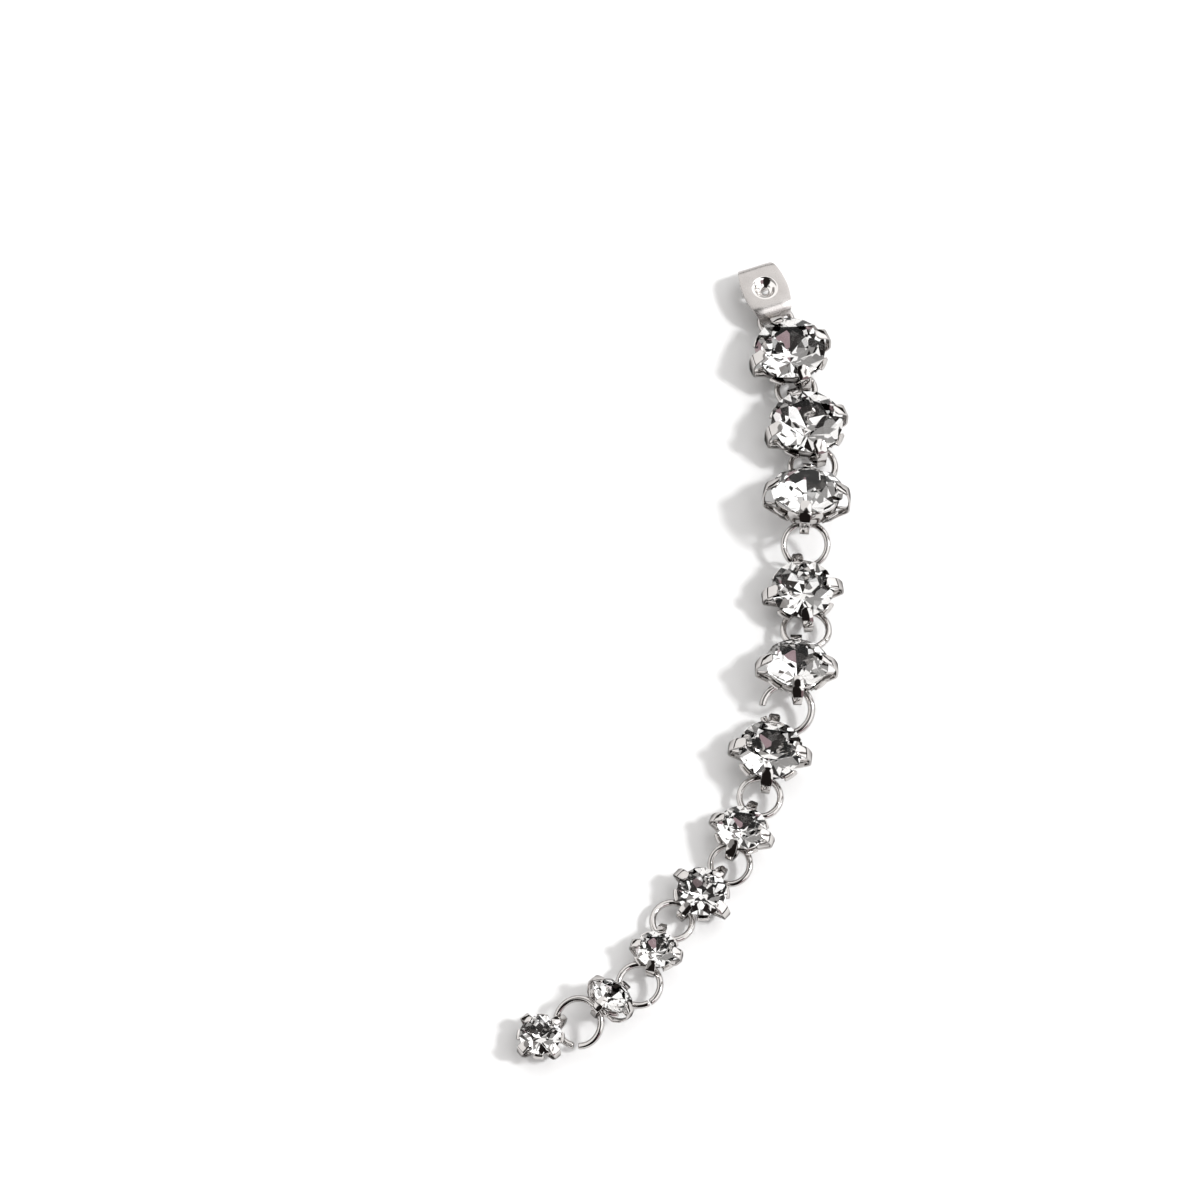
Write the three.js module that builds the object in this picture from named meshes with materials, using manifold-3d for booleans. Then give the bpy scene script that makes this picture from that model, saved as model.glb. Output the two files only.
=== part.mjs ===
// A long rhinestone drop: a butterfly clutch, then eleven claw-set stones that grow smaller down the
// chain, one jump ring above each of them. It lies loosely on a flat surface, in a gentle curve.
// Millimetres, +Z up. The clutch is at the +Y end, and the tail curves towards -X. The origin is at
// the middle of the bottom of the whole drop.
import * as THREE from 'three';
import { mergeVertices } from 'three/addons/utils/BufferGeometryUtils.js';
import Module from 'manifold-3d';

const wasm = await Module();
wasm.setup();

// Sheet metal of the settings and the clutch
const SHEET = 0.3;
const STONE_GAP = 0.08; // air between a stone and its setting

// Stone, as fractions of its girdle diameter: heights are from the middle of the girdle
const TABLE_RADIUS = 0.27;
const GIRDLE_HALF = 0.015;
const CROWN = 0.15;
const PAVILION = 0.41;
const STONE_SIDES = 16;

// Setting, in mm above its base or outside the girdle
const TUNNEL_TOP = 1.3; // a ring's wire runs below this, behind a claw
const FOOT_HEIGHT = 0.55; // where a claw's foot turns upward
// how far a claw stands outside the girdle, by the stone's diameter
const CLAW_BULGE = { 6.3: 0.45, 5.35: 0.7, 4.1: 0.75, 3.35: 0.45 };
const WIRE_HEIGHT = 0.9; // middle of the wire of the ring below
const WIRE_INNER = 0.88; // nearest that this wire comes to the middle of the setting

// Setting, as fractions of the stone's diameter
const CLAW_TIP = 0.38; // radius where a claw ends on the crown
const CLAW_WEB = 0.38; // radius where its thick part under the girdle starts
const CLAW_ROOT = 0.1; // radius where it leaves the base
const BASE_RADIUS = 0.22;
const WALL_FOOT = 0.37; // radius of the cup wall's lower edge
const WALL_LIP = 0.46; // radius where it flares out to the girdle
const WALL_SIDES = 8;

// Clutch
const CLUTCH_WIDTH = 4.1; // across the middle of its plate
const CLUTCH_END_WIDTH = 3.4;
const TONGUE_WIDTH = 1.6; // the curled ends are narrower than the plate
const SCROLL_RADIUS = 1.05; // middle of the sheet
const SCROLL_OFFSET = 1.65; // from the post to the middle of each scroll
const SCROLL_STEPS = 9;
const SCROLL_TURN = 275; // degrees that a tongue curls round
const PLATE_TURN = 80; // degrees that the plate bends down before the tongue starts
const DIMPLE_RADIUS = 1.05;
const DIMPLE_DEPTH = 0.5;
const POST_HOLE_RADIUS = 0.45;
const PLATE_HEIGHT = 2 * SCROLL_RADIUS + SHEET / 2; // middle of the sheet
const CLUTCH_SLIDE = [-1.2, -2]; // where the first ring may lie in its lower curl
const CLUTCH_PLACE = { step: 7.2, bearing: 18, turn: 20 };

// How each setting lies, from the clutch down. girdle is the stone's diameter. step is the distance
// from the setting before and bearing its direction, 0 being -Y and positive towards +X. turn is
// about the vertical, lean tips the stone towards +Y and roll towards +X.
const SETTINGS = [
  { girdle: 6.3, step: 0, bearing: 0, turn: 14, lean: 2.5, roll: -4 },
  { girdle: 6.3, step: 7.5, bearing: 8, turn: 12, lean: 4.5, roll: 0 },
  { girdle: 6.3, step: 8.15, bearing: -2, turn: -13, lean: 25, roll: 0 },
  { girdle: 5.35, step: 7.35, bearing: -3, turn: 0, lean: 0, roll: -4 },
  { girdle: 5.35, step: 8, bearing: -6.5, turn: -8, lean: 19, roll: 0 },
  { girdle: 5.35, step: 7.3, bearing: -19, turn: -15, lean: 6, roll: 0 },
  { girdle: 4.1, step: 7.25, bearing: -20, turn: -31, lean: 11, roll: 0 },
  { girdle: 4.1, step: 5.95, bearing: -34, turn: -49, lean: 0, roll: 0 },
  { girdle: 3.35, step: 6.4, bearing: -35.5, turn: -22, lean: 12, roll: 0 },
  { girdle: 3.35, step: 6.1, bearing: -45, turn: -45, lean: 27, roll: 25 },
  { girdle: 3.35, step: 5.45, bearing: -63.5, turn: -57, lean: 6, roll: 0 },
];

// The jump ring above each setting. across is its outer diameter, cut the place of its saw cut
// (0 is its right side, 90 its upper end), open the width of the cut, lift how far one end springs up,
// shift how far it lies to the right of the line between the two claws, and height where its wire lies
// on the lower setting's claw.
const RINGS = [
  { across: 3.4, wire: 0.54, cut: 60, open: 0.1, lift: 0, shift: 0.05, height: 0.9 },
  { across: 3.85, wire: 0.54, cut: 100, open: 0.1, lift: 0, shift: 0, height: 1 },
  { across: 4.4, wire: 0.54, cut: 120, open: 0.1, lift: 0, shift: 0.2, height: 1.25 },
  { across: 4.25, wire: 0.52, cut: 75, open: 0.1, lift: 0, shift: 0.3, height: 1.6 },
  { across: 4.4, wire: 0.55, cut: -30, open: 0.15, lift: 0.1, shift: 0.4, height: 1.6 },
  { across: 4.7, wire: 0.6, cut: 207, open: 0.9, lift: 0.35, shift: 0.1, height: 1.1 },
  { across: 3.9, wire: 0.54, cut: 80, open: 0.1, lift: 0, shift: 0.1, height: 1.2 },
  { across: 3.75, wire: 0.53, cut: 95, open: 0.1, lift: 0, shift: 0.27, height: 0.9 },
  { across: 3.75, wire: 0.53, cut: 85, open: 0.1, lift: 0, shift: -0.3, height: 1 },
  { across: 3.9, wire: 0.53, cut: -14, open: 0.12, lift: 0.05, shift: 0.4, height: 1 },
  { across: 4.25, wire: 0.53, cut: -32, open: 0.3, lift: 0.4, shift: 0.3, height: 0.9 },
];
const RING_STEPS = 22;
const WIRE_SIDES = 8;
const FITTING_ROUNDS = 30; // halvings when a ring's place is looked for
const RING_GAP = 0.3; // air between a ring's wire and the claw that it hangs on

const MATERIALS = {
  setting: { color: 0xd8d8da, roughness: 0.12, metalness: 1 },
  stone: { color: 0xe6e2e6, roughness: 0.05, metalness: 0 },
  ring: { color: 0xdcdcde, roughness: 0.1, metalness: 1 },
  clutch: { color: 0xc8c5c4, roughness: 0.3, metalness: 1 },
};

const rad = THREE.MathUtils.degToRad;
const V2 = (x, y) => new THREE.Vector2(x, y);

function toSolid(geometry) {
  const bare = geometry.clone();
  bare.deleteAttribute('normal');
  bare.deleteAttribute('uv');
  const merged = mergeVertices(bare.index ? bare.toNonIndexed() : bare, 1e-5);
  return new wasm.Manifold(new wasm.Mesh({
    numProp: 3,
    vertProperties: new Float32Array(merged.attributes.position.array),
    triVerts: new Uint32Array(merged.index.array),
  }));
}

function toGeometry(solid) {
  const mesh = solid.getMesh();
  const geometry = new THREE.BufferGeometry();
  geometry.setAttribute('position', new THREE.BufferAttribute(mesh.vertProperties, 3));
  geometry.setIndex(new THREE.BufferAttribute(mesh.triVerts, 1));
  geometry.computeVertexNormals();
  return geometry;
}

function union(geometries) {
  return geometries.map(toSolid).reduce((all, solid) => all.add(solid));
}

// An outline in radius and height, given a width along the third axis and stood upright
function plateGeometry(outline, width) {
  const geometry = new THREE.ExtrudeGeometry(new THREE.Shape(outline), {
    depth: width,
    bevelEnabled: false,
  });
  geometry.translate(0, 0, -width / 2);
  return geometry.rotateX(Math.PI / 2);
}

// A closed profile of radius and height, turned about the vertical
function turnedGeometry(profile, sides, startAngle = 0) {
  return new THREE.LatheGeometry(profile, sides, startAngle).rotateX(Math.PI / 2);
}

const girdleHeight = (girdle) => 0.42 * girdle + 0.5;

// A machine-cut stone: pavilion cone, thin girdle, crown and flat table. grow makes it larger all
// round, which is how its setting is cut to clear it.
function stoneGeometry(girdle, grow = 0) {
  const middle = girdleHeight(girdle);
  const radius = girdle / 2 + grow;
  const profile = [
    V2(0, middle - PAVILION * girdle - 1.5 * grow),
    V2(radius, middle - GIRDLE_HALF * girdle - grow / 2),
    V2(radius, middle + GIRDLE_HALF * girdle + grow / 2),
    V2(TABLE_RADIUS * girdle + grow / 2, middle + CROWN * girdle + grow),
    V2(0, middle + CROWN * girdle + grow),
  ];
  return turnedGeometry(profile, STONE_SIDES);
}

// How far the claw that holds the ring above stands outside the girdle. The largest settings hang too
// close to each other for more.
const ringBulge = (girdle) => Math.min(0.8, 2 - 0.22 * girdle);

// Outer radius and height of a claw from the base to the fold over the girdle
function clawOutside(girdle, holdsRing) {
  const middle = girdleHeight(girdle);
  const bulge = girdle / 2 + (holdsRing ? ringBulge(girdle) : CLAW_BULGE[girdle]);
  const foot = holdsRing ? bulge - 0.1 : 0.25 * girdle + 1;
  return [
    V2(foot - 0.6, 0),
    V2(foot - 0.25, 0.12),
    V2(foot, FOOT_HEIGHT),
    V2(bulge, TUNNEL_TOP),
    V2(bulge, 0.75 * middle),
    V2(girdle / 2 + 0.36, middle + 0.12),
  ];
}

// One claw: out along the base, up round the ring's wire, and folded over the crown. The claw that
// holds the ring above is open higher up.
function clawGeometry(girdle, holdsRing) {
  const outside = clawOutside(girdle, holdsRing);
  const [base, bend, foot, tunnelTop] = outside;
  const middle = girdleHeight(girdle);
  const slope = (CROWN - GIRDLE_HALF) / (0.5 - TABLE_RADIUS);
  const tipHeight = middle + (GIRDLE_HALF + slope * (0.5 - CLAW_TIP)) * girdle;
  const web = CLAW_WEB * girdle;
  const opening = holdsRing ? 0.8 * middle - 0.1 : TUNNEL_TOP;
  const outline = [
    V2(CLAW_ROOT * girdle, 0),
    ...outside,
    V2(CLAW_TIP * girdle, tipHeight + STONE_GAP + SHEET),
    V2(CLAW_TIP * girdle, middle),
    V2(web, middle - 0.3),
    V2(web, opening),
    V2(tunnelTop.x - SHEET, opening),
    V2(foot.x - SHEET, foot.y),
    V2(bend.x - 0.1, bend.y + 0.25),
    V2(base.x - 0.1, SHEET),
    V2(CLAW_ROOT * girdle, SHEET),
  ];
  return plateGeometry(outline, 0.1 * girdle + 0.3);
}

// The cup wall between the claws, which flares to a lip under the girdle
function wallGeometry(girdle) {
  const middle = girdleHeight(girdle);
  const corner = 1 / Math.cos(Math.PI / WALL_SIDES);
  const profile = [
    V2(WALL_FOOT * girdle - SHEET, TUNNEL_TOP),
    V2(WALL_FOOT * girdle, TUNNEL_TOP),
    V2(WALL_LIP * girdle, middle - 0.45),
    V2(0.5 * girdle, middle - 0.12),
    V2(0.5 * girdle - 0.15, middle - 0.05),
    V2(WALL_LIP * girdle - SHEET, middle - 0.45),
    V2(WALL_FOOT * girdle - SHEET, TUNNEL_TOP),
  ].map((point) => V2(point.x * corner, point.y));
  return turnedGeometry(profile, WALL_SIDES, Math.PI / WALL_SIDES);
}

function settingGeometry(girdle) {
  const disc = new THREE.CylinderGeometry(BASE_RADIUS * girdle, BASE_RADIUS * girdle, SHEET, 12);
  disc.rotateX(Math.PI / 2).translate(0, 0, SHEET / 2);
  const pieces = [disc, wallGeometry(girdle)];
  for (let quarter = 0; quarter < 4; quarter += 1) {
    pieces.push(clawGeometry(girdle, quarter === 1).rotateZ(quarter * Math.PI / 2));
  }
  return toGeometry(union(pieces).subtract(toSolid(stoneGeometry(girdle, STONE_GAP))));
}

// Middle line of the clutch's strip, from one curled end over the plate to the other
function stripLine(turn) {
  const steps = Math.ceil(SCROLL_STEPS * turn / SCROLL_TURN);
  const side = [];
  for (let i = 0; i <= steps; i += 1) {
    const angle = rad(90 - turn * i / steps);
    const across = SCROLL_OFFSET + SCROLL_RADIUS * Math.cos(angle);
    side.push(V2(across, PLATE_HEIGHT - SCROLL_RADIUS + SCROLL_RADIUS * Math.sin(angle)));
  }
  const mirrored = side.map((point) => V2(-point.x, point.y)).reverse();
  return [...mirrored, ...side];
}

// A ribbon of sheet thickness along a line of points
function ribbonOutline(line) {
  const normals = line.map((point, i) => {
    const before = line[Math.max(i - 1, 0)];
    const after = line[Math.min(i + 1, line.length - 1)];
    const along = after.clone().sub(before).normalize();
    return V2(-along.y, along.x);
  });
  const offset = (side) => line.map((point, i) => point.clone().addScaledVector(normals[i], side));
  return [...offset(-SHEET / 2), ...offset(SHEET / 2).reverse()];
}

// The plate's outline from above: its long sides bow out in the middle
function plateOutline() {
  const reach = SCROLL_OFFSET + SCROLL_RADIUS + SHEET;
  const outline = new THREE.Shape();
  outline.moveTo(-CLUTCH_END_WIDTH / 2, -reach);
  outline.lineTo(CLUTCH_END_WIDTH / 2, -reach);
  outline.quadraticCurveTo(CLUTCH_WIDTH - CLUTCH_END_WIDTH / 2, 0, CLUTCH_END_WIDTH / 2, reach);
  outline.lineTo(-CLUTCH_END_WIDTH / 2, reach);
  outline.quadraticCurveTo(CLUTCH_END_WIDTH / 2 - CLUTCH_WIDTH, 0, -CLUTCH_END_WIDTH / 2, -reach);
  return new THREE.ExtrudeGeometry(outline, {
    depth: PLATE_HEIGHT + SHEET,
    bevelEnabled: false,
    curveSegments: 6,
  });
}

function clutchGeometry() {
  const quarter = Math.PI / 2;
  const wide = plateGeometry(ribbonOutline(stripLine(PLATE_TURN)), CLUTCH_WIDTH).rotateZ(quarter);
  const narrow = plateGeometry(ribbonOutline(stripLine(SCROLL_TURN)), TONGUE_WIDTH).rotateZ(quarter);
  const top = PLATE_HEIGHT + SHEET / 2;
  const punch = new THREE.CylinderGeometry(DIMPLE_RADIUS, DIMPLE_RADIUS, 2 * SHEET, 16);
  punch.rotateX(quarter).translate(0, 0, PLATE_HEIGHT);
  const funnel = turnedGeometry([
    V2(POST_HOLE_RADIUS, top - DIMPLE_DEPTH - SHEET / 2),
    V2(POST_HOLE_RADIUS + SHEET / 2, top - DIMPLE_DEPTH - SHEET / 2),
    V2(DIMPLE_RADIUS + SHEET / 2, top - SHEET),
    V2(DIMPLE_RADIUS + SHEET / 2, top),
    V2(DIMPLE_RADIUS - SHEET / 3, top),
    V2(POST_HOLE_RADIUS, top - DIMPLE_DEPTH + SHEET / 3),
    V2(POST_HOLE_RADIUS, top - DIMPLE_DEPTH - SHEET / 2),
  ], 16);
  const plate = toSolid(wide).intersect(toSolid(plateOutline())).subtract(toSolid(punch));
  return toGeometry(plate.add(toSolid(narrow).subtract(toSolid(punch))).add(toSolid(funnel)));
}

// Middle line of a jump ring's wire: a turn of a flat helix, open at its saw cut
class RingLine extends THREE.Curve {
  constructor(radius, row) {
    super();
    this.radius = radius;
    this.row = row;
  }

  getPoint(t) {
    const gap = this.row.open / this.radius;
    const angle = rad(this.row.cut) + gap / 2 + t * (2 * Math.PI - gap);
    const height = this.row.lift * (t - 0.5);
    return new THREE.Vector3(this.radius * Math.cos(angle), this.radius * Math.sin(angle), height);
  }
}

function ringGeometry(row) {
  const section = [];
  for (let i = 0; i < WIRE_SIDES; i += 1) {
    const angle = 2 * Math.PI * i / WIRE_SIDES;
    section.push(V2(Math.cos(angle), Math.sin(angle)).multiplyScalar(row.wire / 2));
  }
  return new THREE.ExtrudeGeometry(new THREE.Shape(section), {
    steps: RING_STEPS,
    extrudePath: new RingLine((row.across - row.wire) / 2, row),
    bevelEnabled: false,
  });
}

const materials = {};
for (const [name, look] of Object.entries(MATERIALS)) {
  materials[name] = new THREE.MeshStandardMaterial(look);
}

function namedMesh(name, geometry, material) {
  const mesh = new THREE.Mesh(geometry, material.clone());
  mesh.name = name;
  return mesh;
}

// Lets a piece down until its lowest point is on the surface
function rest(piece) {
  piece.updateMatrixWorld(true);
  piece.position.z = -new THREE.Box3().setFromObject(piece, true).min.z;
  piece.updateMatrixWorld(true);
}

// Where a ring's wire lies in a setting, in the setting's own frame: against the claw nearer the
// clutch, and anywhere between two points behind the claw nearer the tail
function wireAgainstClaw(girdle, row) {
  const reach = girdle / 2 + ringBulge(girdle) - SHEET - row.wire / 2 - RING_GAP;
  return new THREE.Vector3(0, reach, row.height);
}

function wireSlide(girdle) {
  return [WIRE_INNER, 0.25 * girdle + 0.5].map((reach) => new THREE.Vector3(0, -reach, WIRE_HEIGHT));
}

const drop = new THREE.Group();
const units = []; // the clutch, then each setting with its stone
const slides = []; // where the ring below each unit may lie in it

const place = V2(0, 0);
SETTINGS.forEach((row, i) => {
  const bearing = rad(row.bearing);
  place.add(V2(Math.sin(bearing), -Math.cos(bearing)).multiplyScalar(row.step));
  const unit = new THREE.Group();
  unit.add(namedMesh(`setting_${i + 1}`, settingGeometry(row.girdle), materials.setting));
  unit.add(namedMesh(`stone_${i + 1}`, stoneGeometry(row.girdle), materials.stone));
  unit.rotation.set(-rad(row.lean), rad(row.roll), rad(row.turn), 'XYZ');
  unit.position.set(place.x, place.y, 0);
  rest(unit);
  drop.add(unit);
  units.push(unit);
  slides.push(wireSlide(row.girdle));
});

const clutch = namedMesh('clutch', clutchGeometry(), materials.clutch);
const clutchBearing = rad(CLUTCH_PLACE.bearing);
clutch.rotation.z = rad(CLUTCH_PLACE.turn);
clutch.position.set(
  -CLUTCH_PLACE.step * Math.sin(clutchBearing),
  CLUTCH_PLACE.step * Math.cos(clutchBearing),
  0,
);
rest(clutch);
drop.add(clutch);
units.unshift(clutch);
slides.unshift(CLUTCH_SLIDE.map((y) => new THREE.Vector3(0, y, WIRE_HEIGHT)));

// A ring hangs on a claw of the lower unit and reaches as far into the upper one as its size lets it
function threadRing(ring, row, upper, slide, lower, hook) {
  const diameter = row.across - row.wire;
  const bottom = lower.localToWorld(hook.clone());
  const end = (share) => upper.localToWorld(slide[0].clone().lerp(slide[1], share));
  let low = 0;
  let high = 1;
  for (let i = 0; i < FITTING_ROUNDS; i += 1) {
    const share = (low + high) / 2;
    if (end(share).distanceTo(bottom) > diameter) low = share;
    else high = share;
  }
  const top = end(low);
  const upward = top.clone().sub(bottom).normalize();
  const across = new THREE.Vector3();
  for (const unit of [upper, lower]) {
    across.add(new THREE.Vector3(1, 0, 0).transformDirection(unit.matrixWorld));
  }
  across.addScaledVector(upward, -across.dot(upward)).normalize();
  const normal = across.clone().cross(upward);
  ring.quaternion.setFromRotationMatrix(new THREE.Matrix4().makeBasis(across, upward, normal));
  ring.position.copy(top).add(bottom).multiplyScalar(0.5).addScaledVector(across, row.shift);
}

RINGS.forEach((row, i) => {
  const ring = namedMesh(`jump_ring_${i + 1}`, ringGeometry(row), materials.ring);
  const hook = wireAgainstClaw(SETTINGS[i].girdle, row);
  threadRing(ring, row, units[i], slides[i], units[i + 1], hook);
  drop.add(ring);
});

const box = new THREE.Box3().setFromObject(drop, true);
const centre = box.getCenter(new THREE.Vector3());
drop.position.set(-centre.x, -centre.y, -box.min.z);

const part = new THREE.Group();
part.add(drop);

export default part;
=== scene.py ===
"""Looks of a long rhinestone drop earring that lies in a gentle curve on a white table.

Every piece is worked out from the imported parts: where each stone, claw setting, jump ring and the
butterfly clutch lies is measured on their corners, and the detailed pieces are made around that.
Lengths in the functions below are millimetres, and a piece is brought to metres when it is placed.
"""

import math

import bmesh
import bpy
import numpy as np
from mathutils import Matrix, Quaternion, Vector


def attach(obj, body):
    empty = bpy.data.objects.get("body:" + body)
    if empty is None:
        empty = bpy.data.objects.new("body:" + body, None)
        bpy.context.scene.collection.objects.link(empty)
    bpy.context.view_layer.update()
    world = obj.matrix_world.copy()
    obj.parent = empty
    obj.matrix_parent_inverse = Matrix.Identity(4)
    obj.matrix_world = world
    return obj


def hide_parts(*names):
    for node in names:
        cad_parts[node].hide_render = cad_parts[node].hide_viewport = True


MM = 0.001
STONES = range(1, 12)
RING_SIDES = 8  # corners of a packed ring's wire
SAME_POINT = 1e-4  # corners nearer than this, in mm, are one

# The sheet that settings and clutch are pressed from, in mm
SHEET = 0.3
EDGE = 0.05  # how far its edges are rounded off
BURR = 0.06  # and those of a cut wire and of the clutch

# Cut of a stone, as fractions of its width. Heights are from the middle of the girdle.
GIRDLE_RADIUS = 0.5
GIRDLE_HALF = 0.015
TABLE_RADIUS = 0.27
TABLE_HEIGHT = 0.15
CULET_DEPTH = 0.41
FACETS = 8
SAME_CUT = 1e-5  # cuts nearer than this meet in one corner
PAVILION_GIRDLE_TILT = 46  # degrees, of the small facets under the girdle
FACET_TURNS = (0, -18, 0, 18, 2, -9, -9, -5, 0, -9, -18)  # degrees, from the clutch down

# Setting: heights above its base in mm, then fractions of the stone's width
TUNNEL_TOP = 1.3  # of the tunnel under the stone, where the rings' wire runs
FOOT_HEIGHT = 0.55
CUP_BOTTOM = TUNNEL_TOP + 0.14
RIB_WIDTH = 0.3
BASE_RADIUS = 0.22
CUP_FOOT = 0.4
CUP_LIP = 0.45
CUP_SHEET = 0.12
CLAW_TIP = 0.38
CLAW_BULGE = {6.3: 0.6, 5.35: 0.8, 4.1: 0.75, 3.35: 0.5}  # mm outside the girdle, by width
CLAW_SHEET = 0.2  # claws are thinned where they are bent
STONE_GAP = 0.08
STONE_LIFT = 0.03  # off its cup, towards the claws
CROWN_SLOPE = (TABLE_HEIGHT - GIRDLE_HALF) / (GIRDLE_RADIUS - TABLE_RADIUS)

# Clutch, in mm
CLUTCH_HALF_WIDTH = 2.05
CLUTCH_BOW = 0.075  # how fast its long sides come in, per mm, away from the middle
TONGUE_WIDTH = 1.6
SCROLL_RADIUS = 1.05
SCROLL_OFFSET = 1.65
SCROLL_TURN = 275
PLATE_TURN = 80
PLATE_HEIGHT = 2 * SCROLL_RADIUS + SHEET / 2
LONG_SIDE_POINTS = 11
# The punched dimple round the post hole: radius and depth under the plate
DIMPLE = ((1.2, 0), (1.08, 0.02), (0.96, 0.1), (0.82, 0.3), (0.66, 0.42), (0.5, 0.46),
          (0.45, 0.55))


# Materials

MIX_FROM, MIX_TO, MIX_RESULT = 6, 7, 2  # sockets of a Mix node that mixes colours
FAINTEST, STRONGEST = 0.35, 0.65  # what a noise seldom passes


def linear(code):
    """A colour written as an sRGB hex value, in the linear numbers that shaders take."""
    channels = [int(code[i:i + 2], 16) / 255 for i in (1, 3, 5)]
    return [c / 12.92 if c < 0.04045 else ((c + 0.055) / 1.055) ** 2.4 for c in channels] + [1]


def add_node(tree, kind, inputs=None, **settings):
    """Adds a node with its settings. An input is a value, or the output that is linked to it."""
    node = tree.nodes.new(kind)
    for name, value in settings.items():
        setattr(node, name, value)
    for name, value in (inputs or {}).items():
        if isinstance(value, bpy.types.NodeSocket):
            tree.links.new(value, node.inputs[name])
        else:
            node.inputs[name].default_value = value
    return node


def new_material(name, shader):
    """A material with one shader of the given values, then its tree and shader, for more nodes."""
    material = bpy.data.materials.new(name)
    material.use_nodes = True
    tree = material.node_tree
    tree.nodes.clear()
    surface = add_node(tree, "ShaderNodeBsdfPrincipled", shader)
    add_node(tree, "ShaderNodeOutputMaterial", {"Surface": surface.outputs["BSDF"]})
    return material, tree, surface


def metal(name, colour, rough, unevenness, grain, height, low_angle="#FFFFFF"):
    """A plated metal, between two colours and between two roughnesses.

    unevenness and grain are the sizes in mm of its waves and its finest marks, and height holds
    how high both stand. low_angle is what is left of a reflection where the metal is seen at a low
    angle; a grey there is painted shade that draws dark outlines round the metal.
    """
    material, tree, surface = new_material(name, {
        "Metallic": 1.0, "Specular Tint": linear(low_angle)})
    place = add_node(tree, "ShaderNodeTexCoord").outputs["Object"]
    waves = add_node(tree, "ShaderNodeTexNoise",
                     {"Vector": place, "Scale": 1 / (unevenness * MM), "Detail": 1.0})
    marks = add_node(tree, "ShaderNodeTexNoise",
                     {"Vector": place, "Scale": 1 / (grain * MM), "Detail": 2.0})
    dull = add_node(tree, "ShaderNodeMapRange", {
        "Value": marks.outputs["Fac"], "From Min": FAINTEST, "From Max": STRONGEST,
        "To Min": rough[0], "To Max": rough[1]})
    tint = add_node(tree, "ShaderNodeMix", {
        "Factor": waves.outputs["Fac"], MIX_FROM: linear(colour[0]), MIX_TO: linear(colour[1])},
        data_type="RGBA")
    swell = add_node(tree, "ShaderNodeBump", {
        "Height": waves.outputs["Fac"], "Strength": 1.0, "Distance": height[0] * MM})
    rub = add_node(tree, "ShaderNodeBump", {
        "Height": marks.outputs["Fac"], "Strength": 1.0, "Distance": height[1] * MM,
        "Normal": swell.outputs["Normal"]})
    tree.links.new(tint.outputs[MIX_RESULT], surface.inputs["Base Color"])
    tree.links.new(dull.outputs["Result"], surface.inputs["Roughness"])
    tree.links.new(rub.outputs["Normal"], surface.inputs["Normal"])
    return material


PAINTED_EDGE_SHADE = "#4C4C4C"  # painted shade: dark reflections at low angles outline the metal

# Rhodium on pressed brass, barrel polished: a mirror that waves a little
plated_setting = metal("rhodium_plated_brass", ("#D6D3D1", "#C4C1BF"), (0.02, 0.07), 0.9, 0.12,
                       (0.014, 0.0008), PAINTED_EDGE_SHADE)
# Drawn wire with the same plating: smooth, with faint die lines
plated_wire = metal("rhodium_plated_wire", ("#D6D3D1", "#C4C1BF"), (0.02, 0.06), 0.7, 0.1,
                    (0.008, 0.0006), PAINTED_EDGE_SHADE)
# Stamped clutch sheet, left satin by the tumbling: reflections melt into soft greys
satin_sheet = metal("satin_nickel_plated_sheet", ("#C6C2C0", "#B9B5B3"), (0.24, 0.34), 1.2, 0.07,
                    (0.004, 0.002))
# The dimple, burnished by the punch: bright, with crisp dark and white patches
burnished_sheet = metal("burnished_nickel_plate", ("#EEEBE9", "#DDDAD8"), (0.05, 0.1), 0.8, 0.1,
                        (0.006, 0.001))

# Machine-cut lead-free crystal: clear and sharp, with only faint reflections off its faces
crystal = new_material("machine_cut_crystal", {
    "Base Color": linear("#FFFFFF"), "Roughness": 0.0, "IOR": 1.56, "Transmission Weight": 1.0,
    "Specular Tint": linear("#999999")})[0]

# Silvered and lacquered back of the stone: a mirror behind the glass, a trace warmer in places
FOIL_CLOUD = 1.6  # mm
foil, foil_tree, foil_surface = new_material("silvered_foil", {"Metallic": 1.0, "Roughness": 0.01})
foil_place = add_node(foil_tree, "ShaderNodeTexCoord").outputs["Object"]
foil_cloud = add_node(foil_tree, "ShaderNodeTexNoise",
                      {"Vector": foil_place, "Scale": 1 / (FOIL_CLOUD * MM), "Detail": 1.0})
foil_tint = add_node(foil_tree, "ShaderNodeMix", {
    "Factor": foil_cloud.outputs["Fac"], MIX_FROM: linear("#F8F8F8"), MIX_TO: linear("#E9E8E7")},
    data_type="RGBA")
foil_tree.links.new(foil_tint.outputs[MIX_RESULT], foil_surface.inputs["Base Color"])


# Where the parts lie

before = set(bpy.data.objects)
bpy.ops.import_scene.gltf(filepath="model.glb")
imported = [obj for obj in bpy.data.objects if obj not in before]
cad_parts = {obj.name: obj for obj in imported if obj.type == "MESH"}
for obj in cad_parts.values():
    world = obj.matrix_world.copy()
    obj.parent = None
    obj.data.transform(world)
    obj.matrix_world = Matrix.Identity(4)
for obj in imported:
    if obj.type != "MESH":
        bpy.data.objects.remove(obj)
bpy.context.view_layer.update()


def corners(node):
    """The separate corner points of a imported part, in mm."""
    points = np.array([v.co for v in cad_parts[node].data.vertices]) / MM
    return np.unique(points.round(4), axis=0)  # a tenth of a micron


def unit(vector):
    """A vector's direction, with a length of 1."""
    return vector / np.linalg.norm(vector)


def placing(across, along, up, origin):
    """The matrix that brings a piece from its own frame to where it lies."""
    place = Matrix.Identity(4)
    for column, vector in enumerate((across, along, up, origin)):
        for row in range(3):
            place[row][column] = vector[row]
    return place


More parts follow.
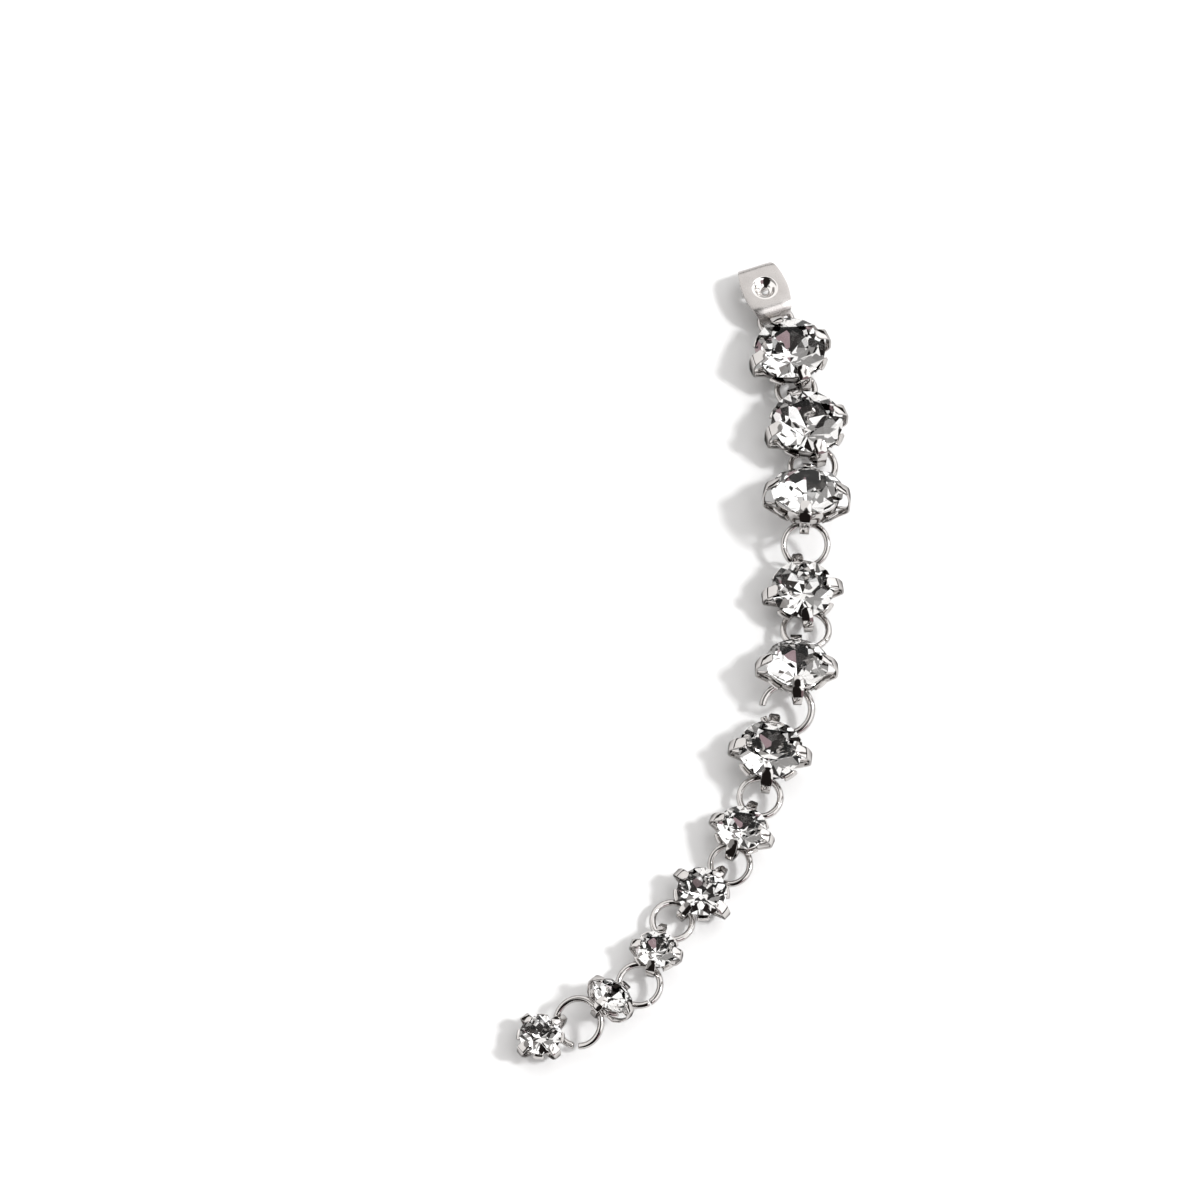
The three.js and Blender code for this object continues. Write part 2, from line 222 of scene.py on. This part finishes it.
def measure_ring(number):
    """How a jump ring lies: place, radius of its middle line, wire radius, gap angle and lift.

    In a ring's own frame its middle is at the origin and the wire starts on the X axis.
    """
    points = corners(f"jump_ring_{number}")
    middle = points.mean(axis=0)
    # The middle of an open ring's corners isn't its own middle, so a circle is fitted, twice
    for _ in range(2):
        right, ahead, up = np.linalg.svd(points - middle)[2]
        x, y = (points - middle) @ right, (points - middle) @ ahead
        fit = np.linalg.lstsq(np.c_[2 * x, 2 * y, np.ones(len(x))], x * x + y * y, rcond=None)[0]
        middle = middle + fit[0] * right + fit[1] * ahead
    ahead = np.cross(up, right)
    angles = np.arctan2((points - middle) @ ahead, (points - middle) @ right)
    order = np.argsort(angles)
    spaces = np.diff(np.r_[angles[order], angles[order[0]] + 2 * math.pi])
    order = np.roll(order, -int(np.argmax(spaces)) - 1)
    # Round the ring, each group of corners is one section of the wire
    sections = points[order].reshape(-1, RING_SIDES, 3)
    turns = np.unwrap([math.atan2((line - middle) @ ahead, (line - middle) @ right)
                       for line in sections.mean(axis=1)])
    steps = np.diff(np.r_[turns, turns[0] + 2 * math.pi])
    cut = int(np.argmax(abs(steps - np.median(steps))))  # the one step that is the saw cut
    sections = np.roll(sections, -cut - 1, axis=0)
    line = sections.mean(axis=1)
    inner = 5  # a section clear of the cut
    wire = np.linalg.norm(sections[inner] - line[inner], axis=1).mean()
    flat = line - middle - np.outer((line - middle) @ up, up)
    radius = np.linalg.norm(flat, axis=1).mean()
    lift = (line[-1] - line[0]) @ up
    start = unit(flat[0])
    origin = middle + ((line[0] - middle) @ up) * up
    return placing(start, np.cross(up, start), up, origin), radius, wire, steps[cut], lift


def measure_setting(number, ring_middle):
    """How a setting and its stone lie: place, width of the stone and height of its girdle.

    In a setting's own frame the base is at the origin, the stone faces +Z and the claw that holds
    the ring above, whose middle is given, is at +Y.
    """
    stone = corners(f"stone_{number}")
    middle = stone.mean(axis=0)
    up = np.linalg.svd(stone - middle)[2][2]
    heights = (stone - middle) @ up
    if -heights.min() < heights.max():
        up, heights = -up, -heights
    reach = np.linalg.norm(stone - middle - np.outer(heights, up), axis=1)
    girdle = stone[reach > 0.98 * reach.max()].mean(axis=0)  # the middle of its widest corners
    metal_points = corners(f"setting_{number}") - girdle
    rises = metal_points @ up
    outward = metal_points - np.outer(rises, up)
    reach_out = np.linalg.norm(outward, axis=1)
    # What stands out furthest is a claw, and the others are quarter turns from it
    claw = Vector(unit(outward[reach_out > 0.985 * reach_out.max()][0]))
    claws = [Quaternion(up, quarter * math.pi / 2) @ claw for quarter in range(4)]
    toward_ring = Vector(ring_middle - girdle)
    along = max(claws, key=toward_ring.dot)
    base = -rises.min()
    place = placing(np.cross(along, up), along, up, girdle - base * up)
    return place, 2 * reach.max(), base


# Making the pieces


def add_piece(name, bm, place, finishes, nodes, sharp=30):
    """A finished piece where its part lies. Edges sharper than sharp degrees stay crisp."""
    bmesh.ops.recalc_face_normals(bm, faces=bm.faces)
    bmesh.ops.transform(bm, matrix=Matrix.Scale(MM, 4) @ place, verts=bm.verts)
    mesh = bpy.data.meshes.new(name)
    bm.to_mesh(mesh)
    bm.free()
    for finish in finishes:
        mesh.materials.append(finish)
    mesh.shade_smooth()
    mesh.set_sharp_from_angle(angle=math.radians(sharp))
    piece = bpy.data.objects.new(name, mesh)
    bpy.context.scene.collection.objects.link(piece)
    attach(piece, "root")
    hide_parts(*nodes)


def saw_off(bm, azimuth, tilt, point):
    """Grinds one facet: all that stands outside a plane through point goes.

    azimuth and tilt turn the plane's normal, and point is how far out and how high it passes.
    """
    normal = Vector((math.sin(tilt) * math.cos(azimuth), math.sin(tilt) * math.sin(azimuth),
                     math.cos(tilt)))
    where = Vector((point[0] * math.cos(azimuth), point[0] * math.sin(azimuth), point[1]))
    cut = bmesh.ops.bisect_plane(bm, geom=[*bm.verts, *bm.edges, *bm.faces], dist=SAME_CUT,
                                 plane_co=where, plane_no=normal, clear_outer=True)
    rim = [e for e in cut["geom_cut"] if isinstance(e, bmesh.types.BMEdge)]
    if rim:
        bmesh.ops.edgeloop_fill(bm, edges=rim)


def cut_stone(width, girdle_height, turn):
    """A round stone: table, two rows of crown facets, a thin girdle and a foiled pavilion."""
    bm = bmesh.new()
    bmesh.ops.create_cone(bm, cap_ends=True, segments=8 * FACETS, radius1=GIRDLE_RADIUS,
                          radius2=GIRDLE_RADIUS, depth=1)
    step = 2 * math.pi / FACETS
    flat = math.cos(step / 2)  # from the middle to a side, where a corner is 1
    rise = TABLE_HEIGHT - GIRDLE_HALF
    depth = CULET_DEPTH - GIRDLE_HALF
    saw_off(bm, 0, 0, (0, TABLE_HEIGHT))
    for k in range(FACETS):
        at_side, at_corner = turn + k * step, turn + (k + 0.5) * step
        edge = TABLE_RADIUS * flat
        saw_off(bm, at_side, math.atan2(rise, GIRDLE_RADIUS - edge), (edge, TABLE_HEIGHT))
        saw_off(bm, at_corner, math.atan2(rise, GIRDLE_RADIUS * flat - TABLE_RADIUS),
                (TABLE_RADIUS, TABLE_HEIGHT))
        saw_off(bm, at_corner, math.pi - math.atan2(depth, GIRDLE_RADIUS), (0, -CULET_DEPTH))
        saw_off(bm, at_side, math.pi - math.radians(PAVILION_GIRDLE_TILT),
                (GIRDLE_RADIUS * flat, -GIRDLE_HALF))
    bmesh.ops.remove_doubles(bm, verts=bm.verts, dist=SAME_CUT)
    bm.normal_update()
    for face in bm.faces:
        face.material_index = 1 if face.normal.z < -0.1 else 0  # the foil is on what faces down
    bmesh.ops.scale(bm, vec=(width,) * 3, verts=bm.verts)
    bmesh.ops.translate(bm, vec=(0, 0, girdle_height + STONE_LIFT), verts=bm.verts)
    return bm


def pull_strip(bm, stations):
    """A strip of sheet, pulled from station to station. Each is (outward, height, width)."""
    outward, height, width = stations[0]
    ends = [bm.verts.new((outward, side * width / 2, height)) for side in (-1, 1)]
    edge = bm.edges.new(ends)
    rungs = []
    for outward, height, width in stations[1:]:
        pulled = bmesh.ops.extrude_edge_only(bm, edges=[edge])["geom"]
        edge = next(g for g in pulled if isinstance(g, bmesh.types.BMEdge))
        for vert in edge.verts:
            vert.co = (outward, math.copysign(width / 2, vert.co.y), height)
        rungs.append(edge)
    return rungs[:-1]


def round_edges(bm, offset, angle=40, segments=2):
    """Takes the sharpness off every edge that bends by more than angle degrees."""
    sharp = [e for e in bm.edges if len(e.link_faces) == 2
             and e.calc_face_angle(0) > math.radians(angle)]
    bmesh.ops.bevel(bm, geom=sharp, offset=offset, offset_type="OFFSET", segments=segments,
                    profile=0.5, affect="EDGES", clamp_overlap=True, material=-1)


def add_bmesh(target, source):
    """Adds one bmesh's shape to another."""
    mesh = bpy.data.meshes.new("part")
    source.to_mesh(mesh)
    source.free()
    target.from_mesh(mesh)
    bpy.data.meshes.remove(mesh)


def thicken(bm, sheet=SHEET):
    """Gives a flat sheet its thickness, half of it to each side."""
    bmesh.ops.recalc_face_normals(bm, faces=bm.faces)
    bm.normal_update()
    for vert, normal in [(v, v.normal.copy()) for v in bm.verts]:
        vert.co += normal * sheet / 2
    bmesh.ops.solidify(bm, geom=bm.faces[:], thickness=sheet)


def round_corners(bm, points, offset):
    """Rounds the corners of a flat sheet."""
    bmesh.ops.bevel(bm, geom=points, offset=offset, offset_type="OFFSET", segments=4, profile=0.5,
                    affect="VERTICES", clamp_overlap=True, material=-1)


def claw_bulge(width, holds_ring):
    """How far a claw stands outside the girdle. Its loop is wider where the ring above hangs."""
    if holds_ring:
        return min(0.94, 2.14 - 0.22 * width)
    return CLAW_BULGE[round(width, 2)]


def bent_claw(width, girdle_height, holds_ring):
    """A claw: a strip that leaves the base, stands up round the ring and folds over the stone."""
    half = CLAW_SHEET / 2
    bulge = width / 2 + claw_bulge(width, holds_ring) - half
    foot = bulge - 0.22 if holds_ring else 0.25 * width + 1 - half
    over = girdle_height + STONE_GAP + half
    strap = 0.1 * width + 0.3  # the strip's width over the stone
    leg = (0.65 if holds_ring else 0.85) * strap  # and beside the ring
    shoulder = 0.8 * girdle_height  # from here it leans in
    top = over + (GIRDLE_HALF + CROWN_SLOPE * (GIRDLE_RADIUS - CLAW_TIP)) * width
    knuckle = width / 2 + 0.3  # from here the tip lies along the crown
    bm = bmesh.new()
    rungs = pull_strip(bm, [
        (0.1 * width, half, leg),
        (foot - 0.5, half, leg),
        (foot, FOOT_HEIGHT, leg),
        (bulge, TUNNEL_TOP, leg),
        (bulge, shoulder, leg + 0.1),
        (knuckle, top - CROWN_SLOPE * (knuckle - CLAW_TIP * width), strap + 0.15),
        (CLAW_TIP * width, top, strap + 0.05),
    ])
    bend = min(0.22, 0.4 * (shoulder - TUNNEL_TOP))  # how far each bend is rounded off
    bmesh.ops.bevel(bm, geom=rungs, offset=bend, offset_type="OFFSET", segments=4, profile=0.5,
                    affect="EDGES", clamp_overlap=True, material=-1)
    tip = [v for v in bm.verts if len(v.link_faces) == 1 and v.co.z > girdle_height]
    round_corners(bm, tip, 0.4 * strap)
    thicken(bm, CLAW_SHEET)
    return bm


def wall_plate(width, girdle_height):
    """One of the four short legs between the claws, waisted, with an end that turns out."""
    foot_height = TUNNEL_TOP + 0.1
    share = min(1, 0.2 * width)  # small settings have narrower plates
    wing_height = max(0.77 * girdle_height, TUNNEL_TOP + 0.32)
    stations = [  # radius, height and half width
        (CUP_FOOT * width + 0.05, foot_height, 0.6 * share),
        (0.46 * width - 0.1, 0.5 * (foot_height + wing_height), 0.42 * share),
        (0.5 * width - 0.12, wing_height - 0.1, 0.55 * share),
        (0.5 * width + 0.2, wing_height, 0.7 * share),
    ]
    bm = bmesh.new()
    line = [bm.verts.new((x, 0, z)) for x, z, _ in stations]
    edges = [bm.edges.new(pair) for pair in zip(line, line[1:])]
    # It is turned as wide as it ever gets, and then each height is brought to its own width
    widest = math.radians(20)
    bmesh.ops.rotate(bm, cent=(0, 0, 0), matrix=Matrix.Rotation(-widest, 3, "Z"), verts=bm.verts)
    bmesh.ops.spin(bm, geom=[*line, *edges], cent=(0, 0, 0), axis=(0, 0, 1), angle=2 * widest,
                   steps=8)
    shares = {round(z, 3): spread / x / widest - 1 for x, z, spread in stations}
    for vert in bm.verts:
        angle = math.atan2(vert.co.y, vert.co.x) * shares[round(vert.co.z, 3)]
        vert.co.rotate(Quaternion((0, 0, 1), angle))
    round_corners(bm, [v for v in bm.verts if len(v.link_faces) == 1], 0.2)
    bmesh.ops.rotate(bm, cent=(0, 0, 0), matrix=Matrix.Rotation(math.pi / 4, 3, "Z"),
                     verts=bm.verts)
    thicken(bm, CLAW_SHEET)
    return bm


def seat_cup(width, girdle_height):
    """The thin cup that the back of the stone sits in."""
    bm = bmesh.new()
    low = bm.verts.new((CUP_FOOT * width, 0, CUP_BOTTOM))
    lip = bm.verts.new((CUP_LIP * width, 0, max(girdle_height - 0.45, TUNNEL_TOP + 0.25)))
    bmesh.ops.spin(bm, geom=[low, lip, bm.edges.new((low, lip))], cent=(0, 0, 0), axis=(0, 0, 1),
                   angle=2 * math.pi, steps=24, use_merge=True)
    thicken(bm, CUP_SHEET)
    return bm


def cup_rib(width):
    """The rib that ties a claw to the cup."""
    claw = width / 2 + claw_bulge(width, False) - CLAW_SHEET / 2
    bm = bmesh.new()
    pull_strip(bm, [(reach, CUP_BOTTOM, RIB_WIDTH) for reach in (CUP_FOOT * width, claw)])
    thicken(bm, CUP_SHEET)
    return bm


def claw_setting(width, girdle_height):
    """A base disc, a cup, four claws with their ribs and four wall plates, soldered into one."""
    base = bmesh.new()
    bmesh.ops.create_cone(base, cap_ends=True, segments=24, radius1=BASE_RADIUS * width,
                          radius2=BASE_RADIUS * width, depth=SHEET)
    bmesh.ops.translate(base, vec=(0, 0, SHEET / 2), verts=base.verts)
    parts = [(base, 0), (seat_cup(width, girdle_height), 0)]
    for quarter in range(4):
        holds_ring = quarter == 1
        parts += [(bent_claw(width, girdle_height, holds_ring), quarter),
                  (wall_plate(width, girdle_height), quarter)]
        if not holds_ring:
            parts.append((cup_rib(width), quarter))
    whole = bmesh.new()
    for part, quarter in parts:
        bmesh.ops.recalc_face_normals(part, faces=part.faces)
        round_edges(part, EDGE)
        turn = Matrix.Rotation(quarter * math.pi / 2, 3, "Z")
        bmesh.ops.rotate(part, cent=(0, 0, 0), matrix=turn, verts=part.verts)
        add_bmesh(whole, part)
    return whole


def jump_ring(radius, wire, gap, lift):
    """A turn of wire, open at its saw cut, with the burr taken off both ends."""
    bm = bmesh.new()
    bmesh.ops.create_circle(bm, cap_ends=True, segments=16, radius=wire)
    bmesh.ops.rotate(bm, cent=(0, 0, 0), matrix=Matrix.Rotation(math.pi / 2, 3, "X"),
                     verts=bm.verts)
    bmesh.ops.translate(bm, vec=(radius, 0, 0), verts=bm.verts)
    start = bmesh.ops.duplicate(bm, geom=bm.faces[:])["geom"]
    steps = 72
    bmesh.ops.spin(bm, geom=[g for g in start if isinstance(g, bmesh.types.BMFace)],
                   cent=(0, 0, 0), axis=(0, 0, 1), angle=2 * math.pi - gap, steps=steps,
                   dvec=(0, 0, lift / steps))
    bmesh.ops.remove_doubles(bm, verts=bm.verts, dist=SAME_POINT)
    round_edges(bm, BURR, angle=60)
    return bm


def butterfly_clutch():
    """A pressed plate with a dimpled post hole, two ends folded down, and their tongues curled."""
    def half_width(reach):
        return CLUTCH_HALF_WIDTH - CLUTCH_BOW * reach * reach

    bm = bmesh.new()
    rim_radius = DIMPLE[0][0]
    bmesh.ops.create_circle(bm, cap_ends=False, segments=32, radius=rim_radius)
    rim = bm.edges[:]
    # The plate's outline, whose long sides bow out
    side = [(half_width(y), y)
            for y in np.linspace(-SCROLL_OFFSET, SCROLL_OFFSET, LONG_SIDE_POINTS)]
    side.append((TONGUE_WIDTH / 2, SCROLL_OFFSET))
    other = [(-x, -y) for x, y in side]
    near_left = (TONGUE_WIDTH / 2, -SCROLL_OFFSET)
    outline = [bm.verts.new((x, y, 0)) for x, y in [near_left, *side]]
    outline += [bm.verts.new((x, y, 0)) for x, y in [(-near_left[0], -near_left[1]), *other]]
    border = [bm.edges.new((outline[i - 1], outline[i])) for i in range(len(outline))]
    bmesh.ops.remove_doubles(bm, verts=outline, dist=SAME_POINT)
    border = [e for e in border if e.is_valid]
    bmesh.ops.bridge_loops(bm, edges=rim + border)
    # The dimple round the post hole
    rim = [e for e in bm.edges if e.is_boundary
           and all(v.co.length < rim_radius + 0.01 for v in e.verts)]
    plate_faces = set(bm.faces)
    for radius, depth in DIMPLE[1:]:
        pulled = bmesh.ops.extrude_edge_only(bm, edges=rim)["geom"]
        rim = [g for g in pulled if isinstance(g, bmesh.types.BMEdge)]
        for vert in {v for e in rim for v in e.verts}:
            flat = vert.co.to_2d().normalized() * radius
            vert.co = (flat.x, flat.y, -depth)
    for face in bm.faces:
        face.material_index = 0 if face in plate_faces else 1  # satin, then burnished
    # The folded ends, which go on narrowing, and the curled tongues
    for end in (1, -1):
        centre = (0, end * SCROLL_OFFSET, -SCROLL_RADIUS)
        edge = [e for e in bm.edges if e.is_boundary
                and all(abs(v.co.y - end * SCROLL_OFFSET) < SAME_POINT for v in e.verts)]
        folded = bmesh.ops.spin(bm, geom=edge, cent=centre, axis=(1, 0, 0),
                                angle=-end * math.radians(PLATE_TURN), steps=10)["geom_last"]
        tongue = [g for g in folded if isinstance(g, bmesh.types.BMEdge)
                  and all(abs(v.co.x) < TONGUE_WIDTH / 2 + 0.01 for v in g.verts)]
        for vert in bm.verts:
            beyond = end * vert.co.y - SCROLL_OFFSET
            if beyond > SAME_POINT and abs(vert.co.x) > TONGUE_WIDTH / 2 + 0.01:
                turned = math.atan2(beyond, vert.co.z + SCROLL_RADIUS)
                reach = SCROLL_OFFSET + SCROLL_RADIUS * turned
                vert.co.x = math.copysign(half_width(reach), vert.co.x)
        bmesh.ops.spin(bm, geom=tongue, cent=centre, axis=(1, 0, 0),
                       angle=-end * math.radians(SCROLL_TURN - PLATE_TURN), steps=20)
    bmesh.ops.remove_doubles(bm, verts=bm.verts, dist=SAME_POINT)
    bmesh.ops.translate(bm, vec=(0, 0, PLATE_HEIGHT), verts=bm.verts)
    thicken(bm)
    round_edges(bm, BURR, angle=50)
    return bm


for number in STONES:
    ring_place, radius, wire, gap, lift = measure_ring(number)
    place, width, girdle_height = measure_setting(number, np.array(ring_place.translation))
    # How the facets lie is by chance, as stones are set without looking. They are turned from the
    # table's +Y, which is first found in the setting's own frame.
    north = math.atan2(place[1][1], place[1][0])
    turn = north + math.radians(FACET_TURNS[number - 1])
    add_piece(f"cut_stone_{number}", cut_stone(width, girdle_height, turn), place,
              [crystal, foil], [f"stone_{number}"], sharp=1)
    add_piece(f"claw_setting_{number}", claw_setting(width, girdle_height), place,
              [plated_setting], [f"setting_{number}"])
    add_piece(f"wire_ring_{number}", jump_ring(radius, wire, gap, lift), ring_place, [plated_wire],
              [f"jump_ring_{number}"], sharp=50)

clutch_points = corners("clutch")
clutch_middle = (clutch_points.min(axis=0) + clutch_points.max(axis=0)) / 2 * (1, 1, 0)
clutch_along = np.linalg.svd((clutch_points - clutch_middle)[:, :2])[2][0]
clutch_along = np.array([*(clutch_along * np.sign(clutch_along[1])), 0])
upward = np.array([0, 0, 1])
clutch_place = placing(np.cross(clutch_along, upward), clutch_along, upward, clutch_middle)
add_piece("butterfly_clutch", butterfly_clutch(), clutch_place, [satin_sheet, burnished_sheet],
          ["clutch"], sharp=40)


# Table, light and camera

PALE = "#F4F4F4"  # the table, and the backdrop behind it

# Sprayed lacquer on board: matt, with no mirror image of what lies on it
lacquer = new_material("matt_white_lacquer", {"Base Color": linear(PALE), "Roughness": 0.6})[0]
bm = bmesh.new()
bmesh.ops.create_grid(bm, x_segments=1, y_segments=1, size=2)  # m
bmesh.ops.translate(bm, vec=(0, 0, -0.02 * MM), verts=bm.verts)  # a hair under the earring
table_mesh = bpy.data.meshes.new("table_top")
bm.to_mesh(table_mesh)
bm.free()
table_mesh.materials.append(lacquer)
table_top = bpy.data.objects.new("table_top", table_mesh)
bpy.context.scene.collection.objects.link(table_top)

# The studio round the table. Each row is a patch of it: the bearing of its middle and its half
# width, the height of its middle and its half height, all in degrees, and its colour. A bearing is
# 0 towards -Y, where the camera is, and positive towards +X. The brightest white is STUDIO_LIGHT.
STUDIO_LIGHT = 1.7
STUDIO_WALLS = "#DFDEDD"
STUDIO_PATCHES = (
    (0, 180, -42, 50, "#C6C5C4"),  # under the table's edge
    (98, 55, 52, 42, "#FFFFFF"),  # a large white scrim on the right
    (38, 14, 62, 20, "#FFFFFF"),  # and its corner towards the camera
    (106, 4, 52, 42, "#5E5A58"),  # the stand between its two cloths
    (98, 55, 56, 2.5, "#7A7775"),  # and its crossbar
    (0, 180, 3, 8, "#24211F"),  # the dim room behind it all
    (-92, 40, 62, 15, "#807F7E"),  # the unlit wall on the left
    (-16, 38, 42, 50, "#1A1716"),  # who stands at the camera
    (0, 180, 90, 14, "#1A1716"),  # the camera's arm overhead
    (32, 14, 22, 20, "#7E6C70"),  # skin beside the dark clothes
)
SOFTNESS = 3  # degrees over which a patch fades

world = bpy.data.worlds.new("studio")
world.use_nodes = True
bpy.context.scene.world = world
tree = world.node_tree
tree.nodes.clear()
direction = add_node(tree, "ShaderNodeTexCoord").outputs["Generated"]
x, y, z = add_node(tree, "ShaderNodeSeparateXYZ", {"Vector": direction}).outputs
forward = add_node(tree, "ShaderNodeMath", {0: y, 1: -1.0}, operation="MULTIPLY")
bearing = add_node(tree, "ShaderNodeMath", {0: x, 1: forward.outputs[0]}, operation="ARCTAN2")
height = add_node(tree, "ShaderNodeMath", {0: z}, operation="ARCSINE")
look = linear(STUDIO_WALLS)
for middle, half_width, level, half_height, colour in STUDIO_PATCHES:
    share = 1.0  # of the patch in a direction, from how far off it is sideways and in height
    for angle, centre, half in ((bearing, middle, half_width), (height, level, half_height)):
        off = add_node(tree, "ShaderNodeMath", {0: angle.outputs[0], 1: math.radians(centre)},
                       operation="SUBTRACT")
        off = add_node(tree, "ShaderNodeMath", {0: off.outputs[0], 1: math.pi, 2: -math.pi},
                       operation="WRAP")
        off = add_node(tree, "ShaderNodeMath", {0: off.outputs[0]}, operation="ABSOLUTE")
        fade = add_node(tree, "ShaderNodeMapRange", {
            "Value": off.outputs[0], "From Min": math.radians(half - SOFTNESS / 2),
            "From Max": math.radians(half + SOFTNESS / 2), "To Min": 1.0, "To Max": 0.0},
            interpolation_type="SMOOTHSTEP")
        share = add_node(tree, "ShaderNodeMath", {0: fade.outputs["Result"], 1: share},
                         operation="MULTIPLY").outputs[0]
    look = add_node(tree, "ShaderNodeMix", {
        "Factor": share, MIX_FROM: look, MIX_TO: linear(colour)},
        data_type="RGBA").outputs[MIX_RESULT]
room = add_node(tree, "ShaderNodeBackground", {"Color": look, "Strength": STUDIO_LIGHT})
# The object reflects the studio, and behind it stands a plain backdrop
seen = add_node(tree, "ShaderNodeBackground", {"Color": linear(PALE), "Strength": 1.0})
direct = add_node(tree, "ShaderNodeLightPath").outputs["Is Camera Ray"]
both = add_node(tree, "ShaderNodeMixShader", {0: direct, 1: room.outputs[0], 2: seen.outputs[0]})
add_node(tree, "ShaderNodeOutputWorld", {"Surface": both.outputs[0]})

# The softbox, low on the right
SOFTBOX_TURN = -6  # degrees from +X, towards the camera
SOFTBOX_HEIGHT = 47  # degrees above the table
SOFTBOX_DISTANCE = 1.0  # m
softbox = bpy.data.lights.new("softbox", "AREA")
softbox.shape = "DISK"
softbox.size = 0.16  # m
softbox.energy = 6  # W
box_object = bpy.data.objects.new("softbox", softbox)
bpy.context.scene.collection.objects.link(box_object)
turn, rise = math.radians(SOFTBOX_TURN), math.radians(SOFTBOX_HEIGHT)
toward_light = Vector((math.cos(rise) * math.cos(turn), math.cos(rise) * math.sin(turn),
                       math.sin(rise)))
box_object.location = toward_light * SOFTBOX_DISTANCE
box_object.rotation_euler = (-toward_light).to_track_quat("-Z", "Y").to_euler()

# The camera, above the earring's near side
CAMERA_PLACE = (-7.466, -91.99, 210.47)  # mm
CAMERA_TILT = 24.5  # degrees from straight down
VIEW_HALF = 12.5  # degrees from the middle of its view to a side
SENSOR = 36  # mm
camera = bpy.data.objects.new("camera", bpy.data.cameras.new("camera"))
bpy.context.scene.collection.objects.link(camera)
camera.data.sensor_width = SENSOR
camera.data.lens = SENSOR / 2 / math.tan(math.radians(VIEW_HALF))
camera.data.clip_start = 0.01
camera.location = Vector(CAMERA_PLACE) * MM
camera.rotation_euler = (math.radians(CAMERA_TILT), 0, 0)
bpy.context.scene.camera = camera
bpy.context.scene.view_settings.view_transform = "Standard"
